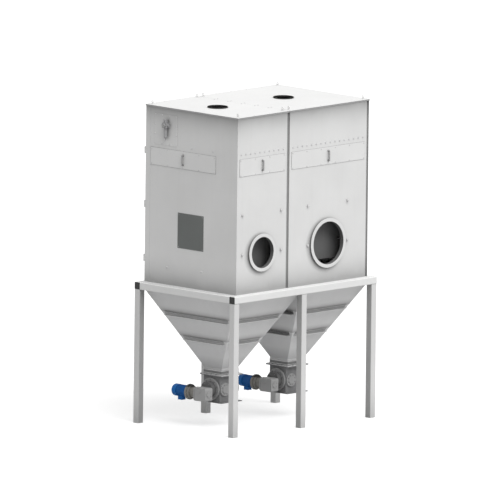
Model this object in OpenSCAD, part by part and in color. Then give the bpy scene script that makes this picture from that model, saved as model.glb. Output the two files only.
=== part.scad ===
// Filter dust collector: two filter chambers side by side on a square tube frame,
// with a pyramid hopper, a rotary valve and a worm gearmotor under each half.
// Millimetres, Z up, the long front with the inlets faces -Y, the plate side faces -X.

/* [Frame] */
// Outside length of the steel frame along the front
frame_l = 2820; // [2700:20:3400]
// Outside depth of the steel frame
frame_w = 1910; // [1870:10:2300]
// Side of the square tube of legs and beams
tube = 100; // [80:5:120]
// Wall of the square tube
tube_t = 5; // [4:0.5:8]
// Outer corner radius of the square tube
tube_r = 10; // [8:1:14]
// Height of the top of the beams above the floor
frame_top = 1960; // [1900:20:2300]
// Place of the middle legs along the front, which is also where the hoppers meet
middle_x = -20; // [-100:10:100]

/* [Body] */
// How far the chambers stand in from the outside of the frame at the left and right
set_x = 110; // [100:2:150]
// How far the chambers stand in from the outside of the frame at the front and back
set_y = 80; // [65:1:95]
// Height of the chambers above the beams, roof included
body_h = 2475; // [2400:25:3200]
// Width of the narrow chamber, up to the middle of the recessed strip
narrow_w = 1007; // [900:1:1200]
// Thickness of the sheet walls
sheet = 4; // [3:0.5:6]
// Depth of the folded edges of the wall panels
fold = 40; // [30:5:60]
// Width of the recessed strips
strip_w = 50; // [40:2:60]
// Width of the recessed strips at the right end
end_strip_w = 38; // [30:2:50]
// Depth of the recessed strips behind the wall panels
strip_d = 15; // [10:1:20]

/* [Roof] */
// Thickness of the roof sheets
roof_t = 4; // [3:0.5:6]
// How far the roof stands out over the walls
roof_over = 15; // [10:1:25]
// Diameter of the clean air hole in each roof sheet
roof_hole = 280; // [200:10:400]
// How far those holes lie in front of the middle
hole_front = 14; // [0:2:60]
// Outside diameter of the small lifting eyes
eye_d = 40; // [30:2:60]

/* [Hatches] */
// Height of the three flat hatches
hatch_h = 240; // [200:10:280]
// Height of the middle of the hatches above the beams
hatch_up = 1770; // [1700:10:1800]
// Width of the hatch on the left face
hatch_left_w = 1236; // [900:4:1300]
// Thickness of a hatch
hatch_t = 5; // [4:0.5:8]
// Distance from a hatch to the edge of its wall panel
hatch_margin = 42; // [30:2:60]
// Length of a bow handle
handle_l = 150; // [120:5:180]
// Rod diameter of a bow handle
handle_d = 18; // [10:1:22]
// How far a bow handle stands off its hatch
handle_out = 34; // [28:1:60]

/* [Inlets] */
// Clear diameter of the inlet of the narrow chamber
inlet_a = 430; // [300:10:480]
// Clear diameter of the inlet of the wide chamber
inlet_b = 592; // [450:2:640]
// Height of the inlet centres above the beams
inlet_up = 558; // [500:2:640]
// Radial width of the inlet flange rings
inlet_rim = 48; // [40:1:60]
// How far the flange ring stands off the wall
inlet_out = 30; // [25:1:60]
// Distance from the wall to the baffle plate behind an inlet
baffle_gap = 175; // [120:5:250]
// How far a baffle plate reaches below the middle of its inlet
baffle_low = 255; // [220:5:300]

/* [Left face] */
// Side of the bare square plate
sign_side = 490; // [400:10:560]
// Height of the middle of the square plate above the beams
sign_up = 788; // [740:2:890]
// Width of the service cover beside the roof
cover_w = 436; // [380:4:480]
// Height of the service cover
cover_h = 430; // [380:5:460]

/* [Back doors] */
// Height of the lower edge of the back doors above the beams
door_up = 132; // [100:2:200]
// Height of the back doors
door_h = 1900; // [1700:50:2000]
// Depth of the back doors
door_t = 25; // [20:1:40]
// Distance between the hinges of a back door
hinge_pitch = 750; // [650:10:800]

/* [Hoppers] */
// Height of the upright rim of a hopper, below the top of the beams
rim_h = 95; // [80:5:120]
// Height of the sloping part of a hopper
slope_h = 1050; // [950:10:1100]
// Height of the square neck under the slope
neck_h = 99; // [80:1:120]
// Outer side of the square neck
neck = 334; // [300:2:360]
// Side of the square flanges at neck and valve
flange_side = 415; // [400:5:460]
// Thickness of the square flanges
flange_t = 10; // [8:1:14]
// Thickness of the hopper sheet
hopper_t = 4; // [3:0.5:6]
// Height of the channels that stiffen the hopper walls
rib_h = 50; // [40:2:65]
// How far those channels stand out
rib_out = 26; // [20:2:50]
// Sheet thickness of those channels
rib_t = 4; // [3:0.5:8]

/* [Rotary valves] */
// Height of a valve from flange to flange
valve_h = 381; // [370:1:400]
// Height of the rotor axis above the underside of the valve
rotor_up = 187; // [180:1:195]
// Distance between the corner bolt holes of the outlet flange
bolt_pitch = 375; // [360:5:380]
// Diameter of those bolt holes
bolt_hole = 14; // [11:1:18]
// Inner diameter of the valve casing
casing_d = 280; // [260:5:290]
// Wall of the valve casing
casing_t = 12; // [10:1:16]
// Gap between the rotor blades and the casing
rotor_gap = 1.5; // [1:0.25:2]
// Number of rotor blades
blades = 8; // [6:1:10]
// Thickness of the round end cover on the gear side
end_t = 30; // [20:1:40]
// Length of the bearing hub between that cover and the gearbox
hub_l = 75; // [60:1:100]
// Diameter of the bearing hub
hub_d = 216; // [180:2:240]
// Diameter of the round cleaning cover on the front
front_d = 180; // [140:5:190]

/* [Gearmotors] */
// Distance from the rotor axis down to the motor axis
worm_drop = 47; // [40:1:55]
// Width of the gear housing along the rotor axis
gear_w = 140; // [120:5:160]
// Depth of the gear housing along the motor axis
gear_l = 224; // [200:4:260]
// How far the gear housing is set to the front of the rotor axis
gear_front = 14; // [0:1:30]
// Height of the gear housing
gear_h = 184; // [170:2:200]
// Diameter of the motor shell
motor_d = 165; // [140:5:180]
// Length of the motor shell
motor_l = 218; // [200:2:300]
// Diameter of the ring between gear housing and motor
adapter_d = 215; // [190:5:230]
// Distance from the gear housing to the motor
adapter_l = 147; // [120:1:180]

/* [Hidden] */
$fn = 96;
seat = 0.3;
body_l = frame_l - 2 * set_x;
body_w = frame_w - 2 * set_y;
split_x = narrow_w - body_l / 2;
x_left = -body_l / 2;
x_right = body_l / 2;
y_front = -body_w / 2;
y_back = body_w / 2;
beam_z = frame_top - tube;
base_t = 6;
wall_z = frame_top + base_t;
body_top = frame_top + body_h;
wall_top = body_top - roof_t;
wall_h = wall_top - wall_z;
leg_x = [-(frame_l - tube) / 2, middle_x, (frame_l - tube) / 2];
leg_y = [-(frame_w - tube) / 2, (frame_w - tube) / 2];
cap_t = 4;

// ends of the wall panels along the front
a_left = x_left + sheet;
a_right = split_x - strip_w / 2;
b_left = split_x + strip_w / 2;
b_right = x_right - sheet - end_strip_w;
a_mid = (x_left + a_right) / 2;
b_mid = (b_left + b_right) / 2;

// hatch openings are this much smaller than the hatches on each side
hatch_lap = 35;
hatch_y1 = y_back - 99;
hatch_y0 = hatch_y1 - hatch_left_w;
hatch_z = frame_top + hatch_up;
inlet_z = frame_top + inlet_up;
sign_z = frame_top + sign_up;
door_z0 = frame_top + door_up;
cover_y = y_back - 381;
cover_z = body_top - 320;
reg_y = cover_y - 30;
reg_z = cover_z + 72;

// hopper heights and plan
slope_top = frame_top - rim_h;
slope_bottom = slope_top - slope_h;
joint_z = slope_bottom - neck_h;
valve_bottom = joint_z - valve_h;
rotor_z = valve_bottom + rotor_up;
rib_places = [0.376, 0.695];
rib_end = 60;
eye_in = 60;
lip_out = 35;
hop_out_x = frame_l / 2 - tube - 2;
hop_out_y = frame_w / 2 - tube - seat;
hop_w_a = middle_x - seat / 2 + hop_out_x;
hop_w_b = hop_out_x - middle_x - seat / 2;
out_a = (middle_x - seat / 2 - hop_out_x) / 2;
out_b = (middle_x + seat / 2 + hop_out_x) / 2;
outlets = [out_a, out_b];

// stud places around each inlet, from the inlet centre
stud_d = 16;
stud_dx_a = 384;
stud_dx_b = 391;
stud_up = 550;

// valve stack
casing_r = casing_d / 2 + casing_t;
casing_l = flange_side - 45;
drum_r = casing_r - 2;
front_cover_t = 24;
front_off = casing_l / 2 - front_d / 2 - 2;
hub_x = -(casing_l / 2 + end_t + hub_l);
gear_x1 = hub_x - 12;
gear_x0 = gear_x1 - gear_w;
gear_cx = (gear_x0 + gear_x1) / 2;
gear_y1 = gear_l / 2 - gear_front;
motor_z = rotor_z - worm_drop;
motor_y = gear_y1 + adapter_l;
shaft_d = 50;
fins = 30;
box_drop = 34;

// Square with true round corners
module round_square(side, r) {
    square([side, side - 2 * r], center = true);
    square([side - 2 * r, side], center = true);
    for (x = [-1, 1], y = [-1, 1]) {
        translate([x * (side / 2 - r), y * (side / 2 - r)]) circle(r);
    }
}

// Rectangle with true round corners
module round_rect(w, h, r) {
    square([w, h - 2 * r], center = true);
    square([w - 2 * r, h], center = true);
    for (x = [-1, 1], y = [-1, 1]) {
        translate([x * (w / 2 - r), y * (h / 2 - r)]) circle(r);
    }
}

// Section of the square tube
module tube_section() {
    difference() {
        round_square(tube, tube_r);
        round_square(tube - 2 * tube_t, tube_r - tube_t + 1);
    }
}

// Bar along X, Y from a flat profile
module along_x(l) {
    rotate([90, 0, 90]) linear_extrude(height = l) children();
}

module along_y(l) {
    translate([0, l, 0]) rotate([90, 0, 0]) linear_extrude(height = l) children();
}

// Cylinders that lie along X or Y
module rod_x(d, l) {
    rotate([0, 90, 0]) cylinder(d = d, h = l);
}

module rod_y(d, l) {
    rotate([-90, 0, 0]) cylinder(d = d, h = l);
}

module legs() {
    color("whitesmoke")
    for (x = leg_x, y = leg_y) {
        translate([x, y, 0]) linear_extrude(height = beam_z) tube_section();
    }
}

module long_beams() {
    color("whitesmoke")
    for (y = leg_y) {
        translate([-frame_l / 2 + cap_t, y, frame_top - tube / 2])
            along_x(frame_l - 2 * cap_t) tube_section();
    }
}

module cross_beams() {
    color("whitesmoke")
    for (x = [leg_x[0], leg_x[2]]) {
        translate([x, -frame_w / 2 + tube, frame_top - tube / 2])
            along_y(frame_w - 2 * tube) tube_section();
    }
}

// Plastic caps in the ends of the long beams
module beam_end_caps() {
    plug = tube - 2 * tube_t - 1;
    color("dimgray")
    for (side = [0, 1], y = leg_y) {
        translate([0, y, frame_top - tube / 2]) mirror([side, 0, 0])
        translate([-frame_l / 2, 0, 0]) {
            along_x(cap_t) round_square(tube - 4, tube_r - 2);
            difference() {
                along_x(cap_t + 25) round_square(plug, tube_r - tube_t);
                translate([cap_t, 0, 0]) along_x(30) round_square(plug - 6, 2);
            }
        }
    }
}

// Sheet tray with its folded edges towards +Y, from x0 to x1
module front_tray(x0, x1) {
    translate([x0, y_front, wall_z])
    difference() {
        cube([x1 - x0, fold, wall_h]);
        translate([sheet, sheet, sheet])
            cube([x1 - x0 - 2 * sheet, fold, wall_h - 2 * sheet]);
    }
}

// Opening behind a front hatch that runs from x0 to x1
module hatch_opening(x0, x1) {
    translate([x0 + hatch_lap, y_front - 1, hatch_z - hatch_h / 2 + hatch_lap])
        cube([x1 - x0 - 2 * hatch_lap, sheet + 2, hatch_h - 2 * hatch_lap]);
}

module stud_holes(cx, dx) {
    for (x = [cx - dx, cx + dx], z = [inlet_z, inlet_z + stud_up]) {
        translate([x, y_front - 1, z]) rod_y(stud_d + 2 * seat, sheet + 2);
    }
}

module front_wall_a() {
    color("gainsboro")
    difference() {
        front_tray(a_left, a_right);
        hatch_opening(a_left + hatch_margin, a_right - hatch_margin);
        translate([a_mid, y_front - 1, inlet_z]) rod_y(inlet_a + 10 + 2 * seat, sheet + 2);
        stud_holes(a_mid, stud_dx_a);
    }
}

module front_wall_b() {
    color("gainsboro")
    difference() {
        front_tray(b_left, b_right);
        hatch_opening(b_left + hatch_margin, b_right - hatch_margin);
        translate([b_mid, y_front - 1, inlet_z]) rod_y(inlet_b + 10 + 2 * seat, sheet + 2);
        stud_holes(b_mid, stud_dx_b);
    }
}

// Back panels repeat the front ones, with one tall door opening each
module back_wall(x0, x1) {
    difference() {
        mirror([0, 1, 0]) front_tray(x0, x1);
        translate([x0 + 80, y_back - sheet - 1, door_z0 + 40])
            cube([x1 - x0 - 160, sheet + 2, door_h - 80]);
    }
}

module back_wall_a() {
    color("gainsboro") back_wall(a_left, a_right);
}

module back_wall_b() {
    color("gainsboro") back_wall(b_left, b_right);
}

// End wall with folded edges at its foot and its top
module end_wall() {
    inner = body_w - 2 * fold - 2 * seat;
    translate([x_left, y_front, wall_z]) cube([sheet, body_w, wall_h]);
    for (z = [wall_z, wall_top - sheet]) {
        translate([x_left, -inner / 2, z]) cube([fold, inner, sheet]);
    }
}

module left_wall() {
    color("lightgray")
    difference() {
        end_wall();
        translate([x_left - 1, hatch_y0 + hatch_lap, hatch_z - hatch_h / 2 + hatch_lap])
            cube([sheet + 2, hatch_y1 - hatch_y0 - 2 * hatch_lap, hatch_h - 2 * hatch_lap]);
        // seam of the back corner strip
        translate([x_left - 1, y_back - 91, wall_z - 1]) cube([3, 3, wall_h + 2]);
    }
}

module right_wall() {
    color("lightgray") mirror([1, 0, 0]) end_wall();
}

module partition_wall() {
    reach = body_w / 2 - strip_d - sheet;
    color("lightgray")
    translate([split_x - sheet / 2, -reach, wall_z]) cube([sheet, 2 * reach, wall_h]);
}

// Recessed channel between x0 and x1, open to the inside
module post(x0, x1) {
    translate([x0, y_front + strip_d, wall_z])
    difference() {
        cube([x1 - x0, fold - strip_d, wall_h]);
        translate([sheet, sheet, -1]) cube([x1 - x0 - 2 * sheet, fold, wall_h + 2]);
    }
}

module joint_posts() {
    color("gray")
    for (side = [0, 1]) mirror([0, side, 0]) {
        post(a_right, b_left);
        post(b_right, x_right - sheet);
    }
}

// Roof sheet from x0 to x1 with a round hole at cx
module roof_sheet(x0, x1, cx) {
    difference() {
        translate([x0, y_front - roof_over, wall_top])
            cube([x1 - x0, body_w + 2 * roof_over, roof_t]);
        translate([cx, -hole_front, wall_top - 1]) cylinder(d = roof_hole, h = roof_t + 2);
    }
}

module roof_a() {
    color("white") roof_sheet(x_left - roof_over, split_x - 1, a_mid);
}

module roof_b() {
    color("white") roof_sheet(split_x + 1, x_right + roof_over, b_mid);
}

// Eye with its foot on the roof
module eye() {
    cylinder(d = 30, h = 6);
    cylinder(d = 12, h = 14);
    translate([0, 0, 10 + eye_d / 2]) rotate([0, 90, 0])
        rotate_extrude() translate([eye_d / 2 - 5, 0]) circle(5);
}

module lifting_eyes() {
    color("silver")
    for (x = [x_left + eye_in, split_x - eye_in, split_x + eye_in, x_right - eye_in],
         y = [y_front + eye_in, y_back - eye_in]) {
        translate([x, y, body_top]) eye();
    }
}

// Flat hatch on the front between x0 and x1
module front_hatch(x0, x1) {
    translate([x0, y_front - hatch_t, hatch_z - hatch_h / 2])
        cube([x1 - x0, hatch_t, hatch_h]);
}

module hatch_front_a() {
    color("gainsboro") front_hatch(a_left + hatch_margin, a_right - hatch_margin);
}

module hatch_front_b() {
    color("gainsboro") front_hatch(b_left + hatch_margin, b_right - hatch_margin);
}

module hatch_left() {
    color("lightgray")
    translate([x_left - hatch_t, hatch_y0, hatch_z - hatch_h / 2])
        cube([hatch_t, hatch_y1 - hatch_y0, hatch_h]);
}

// Upright bow handle that stands out towards -Y from y = 0
module bow_handle() {
    grip = handle_l - handle_d;
    for (z = [-grip / 2, grip / 2]) {
        translate([0, -handle_out + handle_d / 2, z]) {
            rod_y(handle_d, handle_out - handle_d / 2);
            sphere(d = handle_d);
        }
        translate([0, -4, z]) rod_y(handle_d + 14, 4);
    }
    translate([0, -handle_out + handle_d / 2, -grip / 2]) cylinder(d = handle_d, h = grip);
}

module hatch_handles() {
    color("dimgray") {
        for (x = [a_mid, b_mid]) {
            translate([x, y_front - hatch_t, hatch_z]) bow_handle();
        }
        translate([x_left - hatch_t, (hatch_y0 + hatch_y1) / 2, hatch_z])
            rotate([0, 0, -90]) bow_handle();
    }
}

// Short collar with a flange ring at its mouth
module inlet_collar(d) {
    translate([0, y_front - inlet_out, inlet_z])
    difference() {
        union() {
            rod_y(d + 10, inlet_out + 28);
            rod_y(d + 2 * inlet_rim, 8);
        }
        translate([0, -1, 0]) rod_y(d, inlet_out + 40);
    }
}

module inlet_collar_a() {
    color("whitesmoke") translate([a_mid, 0, 0]) inlet_collar(inlet_a);
}

module inlet_collar_b() {
    color("whitesmoke") translate([b_mid, 0, 0]) inlet_collar(inlet_b);
}

// Plate behind an inlet that turns the dusty air down
module inlet_baffle(dx) {
    translate([-dx - 40, y_front + baffle_gap, inlet_z - baffle_low])
        cube([2 * dx + 80, sheet, stud_up + baffle_low + 40]);
}

module inlet_baffle_a() {
    color("gray") translate([a_mid, 0, 0]) inlet_baffle(stud_dx_a);
}

module inlet_baffle_b() {
    color("gray") translate([b_mid, 0, 0]) inlet_baffle(stud_dx_b);
}

// Studs that carry the baffles, with a round head on the outside
module baffle_studs() {
    color("gray")
    for (c = [[a_mid, stud_dx_a], [b_mid, stud_dx_b]], s = [-1, 1], z = [0, stud_up]) {
        translate([c[0] + s * c[1], y_front, inlet_z + z]) {
            translate([0, -10, 0]) rod_y(stud_d, baffle_gap + 10);
            translate([0, -12, 0]) rod_y(30, 12);
        }
    }
}

module square_plate() {
    color("darkslategray")
    translate([x_left - 3, -sign_side / 2 + 4, sign_z - sign_side / 2])
        cube([3, sign_side, sign_side]);
}

module service_cover() {
    color("lightgray")
    translate([x_left - 4, cover_y - cover_w / 2, cover_z - cover_h / 2])
        cube([4, cover_w, cover_h]);
}

// Pressure regulator with filter bowl and gauge on the service cover
module air_regulator() {
    color("dimgray")
    translate([x_left - 4, reg_y, reg_z]) {
        translate([-70, -40, -35]) cube([70, 80, 70]);
        translate([-35, 0, 34]) cylinder(d = 56, h = 48);
        translate([-35, -64, 0]) rod_y(36, 128);
        translate([-35, 0, -160]) cylinder(d = 50, h = 130);
        translate([-35, 0, -160]) sphere(d = 50);
        translate([-35, 0, -208]) cylinder(d = 16, h = 30);
        translate([-88, 0, 0]) rod_x(50, 20);
    }
}

// Folded door tray from x0 to x1 on the back panels
module back_door(x0, x1) {
    translate([x0, y_back, door_z0])
    difference() {
        cube([x1 - x0, door_t, door_h]);
        translate([sheet, -1, sheet])
            cube([x1 - x0 - 2 * sheet, door_t - sheet + 1, door_h - 2 * sheet]);
    }
}

module back_door_a() {
    color("gainsboro") back_door(a_left + 52, a_right - 20);
}

module back_door_b() {
    color("gainsboro") back_door(b_left + 20, b_right - 2);
}

// Hinge at the outer edge of a door
module door_hinge() {
    translate([14, 20, -45]) cylinder(d = 28, h = 90);
    translate([2, 0, -35]) cube([24, 20, 70]);
    translate([14, door_t, -35]) cube([96, 5, 70]);
}

module door_hinges() {
    color("gray")
    for (side = [0, 1], k = [-1, 0, 1]) mirror([side, 0, 0]) {
        translate([x_left, y_back, door_z0 + door_h / 2 + k * hinge_pitch]) door_hinge();
    }
}

// Closed outline of a hopper seen from one side, half width h at the top, n at the neck
module hopper_outline(h, n, top, bottom) {
    polygon([[-h, top], [h, top], [h, slope_top], [n, slope_bottom], [n, bottom],
        [-n, bottom], [-n, slope_bottom], [-h, slope_top]]);
}

module hopper_solid(hx, hy, n, top, bottom) {
    intersection() {
        translate([0, -hy, 0]) along_y(2 * hy) hopper_outline(hx, n, top, bottom);
        translate([-hx, 0, 0]) along_x(2 * hx) hopper_outline(hy, n, top, bottom);
    }
}

// Hopper shell, hx is half its width along X; the flange turns out on the outer sides only
module hopper(hx) {
    hy = hop_out_y;
    t = hopper_t;
    difference() {
        union() {
            hopper_solid(hx, hy, neck / 2, frame_top + base_t, joint_z);
            translate([-hx - lip_out, -hy - lip_out, frame_top])
                cube([2 * hx + lip_out, 2 * hy + 2 * lip_out, base_t]);
            translate([-flange_side / 2, -flange_side / 2, joint_z])
                cube([flange_side, flange_side, flange_t]);
        }
        hopper_solid(hx - t, hy - t, neck / 2 - t, frame_top, joint_z - 1);
        translate([-hx + 32, -hy + 20, frame_top - 1])
            cube([2 * hx - 32 - t, 2 * hy - 40, base_t + 2]);
    }
}

module hopper_a() {
    color("lightgray") translate([out_a, 0, 0]) hopper(hop_w_a / 2);
}

module hopper_b() {
    color("lightgray") translate([out_b, 0, 0]) mirror([1, 0, 0]) hopper(hop_w_b / 2);
}

// Half width of a hopper side at height z, from half width h at the top
function side_at(h, z) = neck / 2 + (h - neck / 2) * (z - slope_bottom) / (slope_top - slope_bottom);

// Channel on one sloping side, open to the outside: h half width of the hopper across it,
// w half width along it, z its top
module rib(h, w, z) {
    half = side_at(w, z) - rib_end;
    low = z - rib_h;
    out = side_at(h, z) + rib_out;
    translate([-half, 0, 0]) along_x(2 * half) {
        polygon([[-side_at(h, z), z], [-out, z], [-out, z - rib_t], [-side_at(h, z - rib_t), z - rib_t]]);
        polygon([[-side_at(h, z), z], [-side_at(h, z) - rib_t, z], [-side_at(h, low) - rib_t, low],
            [-side_at(h, low), low]]);
        polygon([[-side_at(h, low + rib_t), low + rib_t], [-out, low + rib_t], [-out, low],
            [-side_at(h, low), low]]);
    }
}

module hopper_ribs() {
    color("gray")
    for (c = [[out_a, hop_w_a / 2], [out_b, hop_w_b / 2]], f = rib_places, s = [0, 180]) {
        z = slope_bottom + f * slope_h + rib_h / 2;
        translate([c[0], 0, 0]) {
            rotate([0, 0, s]) rib(hop_out_y, c[1], z);
            rotate([0, 0, s + 90]) rib(c[1], hop_out_y, z);
        }
    }
}

// Casing between two square flanges, open at both throats
module valve_casing() {
    throat = neck - 40;
    difference() {
        union() {
            translate([-casing_l / 2, 0, rotor_z]) rod_x(2 * casing_r, casing_l);
            for (z = [valve_bottom, joint_z - flange_t]) {
                translate([-flange_side / 2, -flange_side / 2, z])
                    cube([flange_side, flange_side, flange_t]);
            }
            translate([-casing_l / 2, -casing_r, valve_bottom])
                cube([casing_l, 2 * casing_r, valve_h]);
        }
        translate([-casing_l / 2 - 1, 0, rotor_z]) rod_x(casing_d, casing_l + 2);
        translate([-throat / 2 - 6, -throat / 2 + 20, valve_bottom - 1])
            cube([throat + 12, throat - 40, valve_h + 2]);
        for (x = [-1, 1], y = [-1, 1]) {
            translate([x * bolt_pitch / 2, y * bolt_pitch / 2, valve_bottom - 1])
                cylinder(d = bolt_hole, h = flange_t + 2);
        }
    }
}

module valve_casing_a() {
    color("dimgray") translate([out_a, 0, 0]) valve_casing();
}

module valve_casing_b() {
    color("dimgray") translate([out_b, 0, 0]) valve_casing();
}

// Round end cover with a bearing hub on the gear side, plain cover on the far side, both bored
// for the shaft, and a round cleaning cover on the front
module valve_end_covers() {
    color("gray")
    for (cx = outlets) translate([cx, 0, rotor_z]) {
        difference() {
            union() {
                translate([-casing_l / 2 - end_t, 0, 0]) rod_x(2 * drum_r, end_t);
                translate([hub_x, 0, 0]) rod_x(hub_d, hub_l + 1);
            }
            translate([hub_x - 1, 0, 0]) rod_x(shaft_d + 2 * seat, end_t + hub_l + 2);
            translate([hub_x + 14, 0, 0]) rod_x(hub_d - 28, end_t + hub_l - 28);
        }
        difference() {
            union() {
                translate([casing_l / 2, 0, 0]) rod_x(2 * drum_r, 16);
                translate([casing_l / 2, 0, 0]) rod_x(120, 50);
            }
            translate([casing_l / 2 - 1, 0, 0]) rod_x(shaft_d + 2 * seat, 45);
        }
        translate([-front_off, -casing_r - front_cover_t, 0]) {
            rod_y(front_d, front_cover_t);
            translate([0, -8, 0]) rod_y(front_d - 70, 9);
        }
    }
}

// Shaft with radial blades
module valve_rotor() {
    blade_r = casing_d / 2 - rotor_gap;
    translate([0, 0, rotor_z]) {
        translate([gear_x0 + 20, 0, 0]) rod_x(shaft_d, casing_l / 2 + 40 - gear_x0 - 20);
        translate([-casing_l / 2 + 2, 0, 0]) rod_x(90, casing_l - 4);
        for (k = [0 : blades - 1]) rotate([(k + 0.5) * 360 / blades, 0, 0]) {
            translate([-casing_l / 2 + 2, -3, 40]) cube([casing_l - 4, 6, blade_r - 40]);
        }
    }
}

module valve_rotor_a() {
    color("silver") translate([out_a, 0, 0]) valve_rotor();
}

module valve_rotor_b() {
    color("silver") translate([out_b, 0, 0]) valve_rotor();
}

// Worm gear housing: a rounded block with a hub towards the valve, a small cap over the shaft
// end, a front bearing cap and the input flange towards the motor
module gearbox() {
    difference() {
        union() {
            translate([gear_x0, -gear_front, motor_z - 8])
                along_x(gear_w) round_rect(gear_l, gear_h, 26);
            translate([gear_x1 - 1, 0, rotor_z]) rod_x(64, 13);
            translate([gear_x0 - 6, 0, rotor_z - 4]) rod_x(62, 7);
            translate([gear_cx, gear_y1 - gear_l - 8, motor_z]) rod_y(90, 12);
            intersection() {
                translate([gear_cx, gear_y1 - 17, motor_z - 14]) rod_y(200, 17);
                translate([gear_x0 - 6, 0, 0]) cube([gear_w + 12, gear_l, rotor_z * 2]);
            }
        }
        translate([gear_x0 + 18, 0, rotor_z]) rod_x(shaft_d + 2 * seat, gear_w);
    }
}

module gearbox_a() {
    color("gray") translate([out_a, 0, 0]) gearbox();
}

module gearbox_b() {
    color("gray") translate([out_b, 0, 0]) gearbox();
}

// Stepped ring between gear housing and motor
module motor_adapters() {
    color("dimgray")
    for (cx = outlets) translate([cx + gear_cx, gear_y1, motor_z]) {
        rod_y(140, adapter_l);
        translate([0, adapter_l - 64, 0]) rod_y(adapter_d - 35, 60);
        translate([0, adapter_l - 26, 0]) rod_y(adapter_d, 26);
    }
}

// Motor along +Y: finned shell, fan cowl with a domed end, terminal box underneath
module motor() {
    translate([gear_cx, motor_y, motor_z]) {
        rod_y(motor_d - 14, motor_l + 20);
        rod_y(motor_d, 16);
        for (k = [0 : fins - 1]) rotate([0, k * 360 / fins, 0]) {
            translate([-1.5, 15, motor_d / 2 - 20]) cube([3, motor_l - 40, 19]);
        }
        translate([0, motor_l - 30, 0]) rod_y(motor_d + 4, 60);
        translate([0, motor_l + 30, 0]) cowl_dome();
        translate([-35, 106, -motor_d / 2 - box_drop]) cube([70, 78, box_drop + 20]);
    }
}

// Rounded end of the fan cowl, a turned quarter round with a flat middle
module cowl_dome() {
    r = motor_d / 2 + 2;
    e = 34;
    rotate([-90, 0, 0]) rotate_extrude() {
        square([r - e, e]);
        intersection() {
            translate([r - e, 0]) circle(e);
            translate([r - e, 0]) square([e, e]);
        }
    }
}

module motor_a() {
    color("royalblue") translate([out_a, 0, 0]) motor();
}

module motor_b() {
    color("royalblue") translate([out_b, 0, 0]) motor();
}

legs();
long_beams();
cross_beams();
beam_end_caps();
left_wall();
right_wall();
partition_wall();
front_wall_a();
front_wall_b();
back_wall_a();
back_wall_b();
roof_a();
roof_b();
joint_posts();
hatch_front_a();
hatch_front_b();
hatch_left();
hatch_handles();
inlet_collar_a();
inlet_collar_b();
inlet_baffle_a();
inlet_baffle_b();
baffle_studs();
square_plate();
service_cover();
air_regulator();
lifting_eyes();
back_door_a();
back_door_b();
door_hinges();
hopper_a();
hopper_b();
hopper_ribs();
valve_casing_a();
valve_casing_b();
valve_end_covers();
valve_rotor_a();
valve_rotor_b();
gearbox_a();
gearbox_b();
motor_adapters();
motor_a();
motor_b();
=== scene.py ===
# %% [markdown]
# # Filter dust collector
# The CAD part gives the sheet walls, tubes, hoppers, valves and gearmotors. This script adds the
# small pieces that make it look built (bolts, gaskets, weld seams, covers), the paint and metal,
# the camera of the photograph and a soft studio. Many new pieces take their place from the box of
# the CAD node that carries them, so they stay seated when a size of the part changes; the others
# sit at given positions.

# %% Load the frame
import math
import bmesh
import bpy
from mathutils import Matrix, Vector


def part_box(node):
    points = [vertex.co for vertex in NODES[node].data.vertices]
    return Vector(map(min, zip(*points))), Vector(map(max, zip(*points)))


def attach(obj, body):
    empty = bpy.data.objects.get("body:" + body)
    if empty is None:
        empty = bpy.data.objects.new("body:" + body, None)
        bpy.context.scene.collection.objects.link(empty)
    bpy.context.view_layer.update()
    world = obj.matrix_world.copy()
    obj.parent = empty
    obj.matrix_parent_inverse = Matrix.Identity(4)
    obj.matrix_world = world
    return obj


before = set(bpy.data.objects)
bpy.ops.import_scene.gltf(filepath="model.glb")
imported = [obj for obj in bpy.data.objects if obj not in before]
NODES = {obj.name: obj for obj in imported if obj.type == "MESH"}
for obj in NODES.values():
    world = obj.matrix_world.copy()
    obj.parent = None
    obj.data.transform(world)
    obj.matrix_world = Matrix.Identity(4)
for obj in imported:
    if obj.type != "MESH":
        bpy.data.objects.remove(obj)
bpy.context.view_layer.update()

# %% [markdown]
# ## Shared shader effects
# Two node groups carry the detail that several materials use. `Coat Detail` is paint: cloudy
# tone, faint vertical streaks, dust on what faces up, painted shade that darkens corners,
# recesses and the space under edges, orange peel in the normal. `Metal Detail` is bare or cast
# metal: grain, darker pits and a rougher or smoother surface from place to place.
# Both work on object coordinates in metres, so the grain is true to scale.

# %% Node groups
def socket(group, name, way, kind, value=None, low=None, high=None):
    s = group.interface.new_socket(name=name, in_out=way, socket_type=kind)
    if value is not None:
        s.default_value = value
    if low is not None:
        s.min_value, s.max_value = low, high
    return s


def mix_rgb(nodes, links, mode, factor, a, b):
    n = nodes.new("ShaderNodeMix")
    n.data_type, n.blend_type = "RGBA", mode
    for value, port in ((factor, n.inputs[0]), (a, n.inputs[6]), (b, n.inputs[7])):
        if hasattr(value, "is_linked"):
            links.new(value, port)
        else:
            port.default_value = value
    return n.outputs[2]


def calc(nodes, links, op, a, b=0.0, clamp=False):
    n = nodes.new("ShaderNodeMath")
    n.operation, n.use_clamp = op, clamp
    for value, port in ((a, n.inputs[0]), (b, n.inputs[1])):
        if hasattr(value, "is_linked"):
            links.new(value, port)
        else:
            port.default_value = value
    return n.outputs[0]


def noise(nodes, links, place, scale, detail=3.0, rough=0.5):
    n = nodes.new("ShaderNodeTexNoise")
    n.inputs["Detail"].default_value = detail
    n.inputs["Roughness"].default_value = rough
    links.new(place, n.inputs["Vector"])
    if hasattr(scale, "is_linked"):
        links.new(scale, n.inputs["Scale"])
    else:
        n.inputs["Scale"].default_value = scale
    return n.outputs[0]


def ramp(nodes, links, value, lo, hi, to_lo=0.0, to_hi=1.0):
    n = nodes.new("ShaderNodeMapRange")
    for i, v in zip((1, 2, 3, 4), (lo, hi, to_lo, to_hi)):
        n.inputs[i].default_value = v
    links.new(value, n.inputs[0])
    return n.outputs[0]


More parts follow.
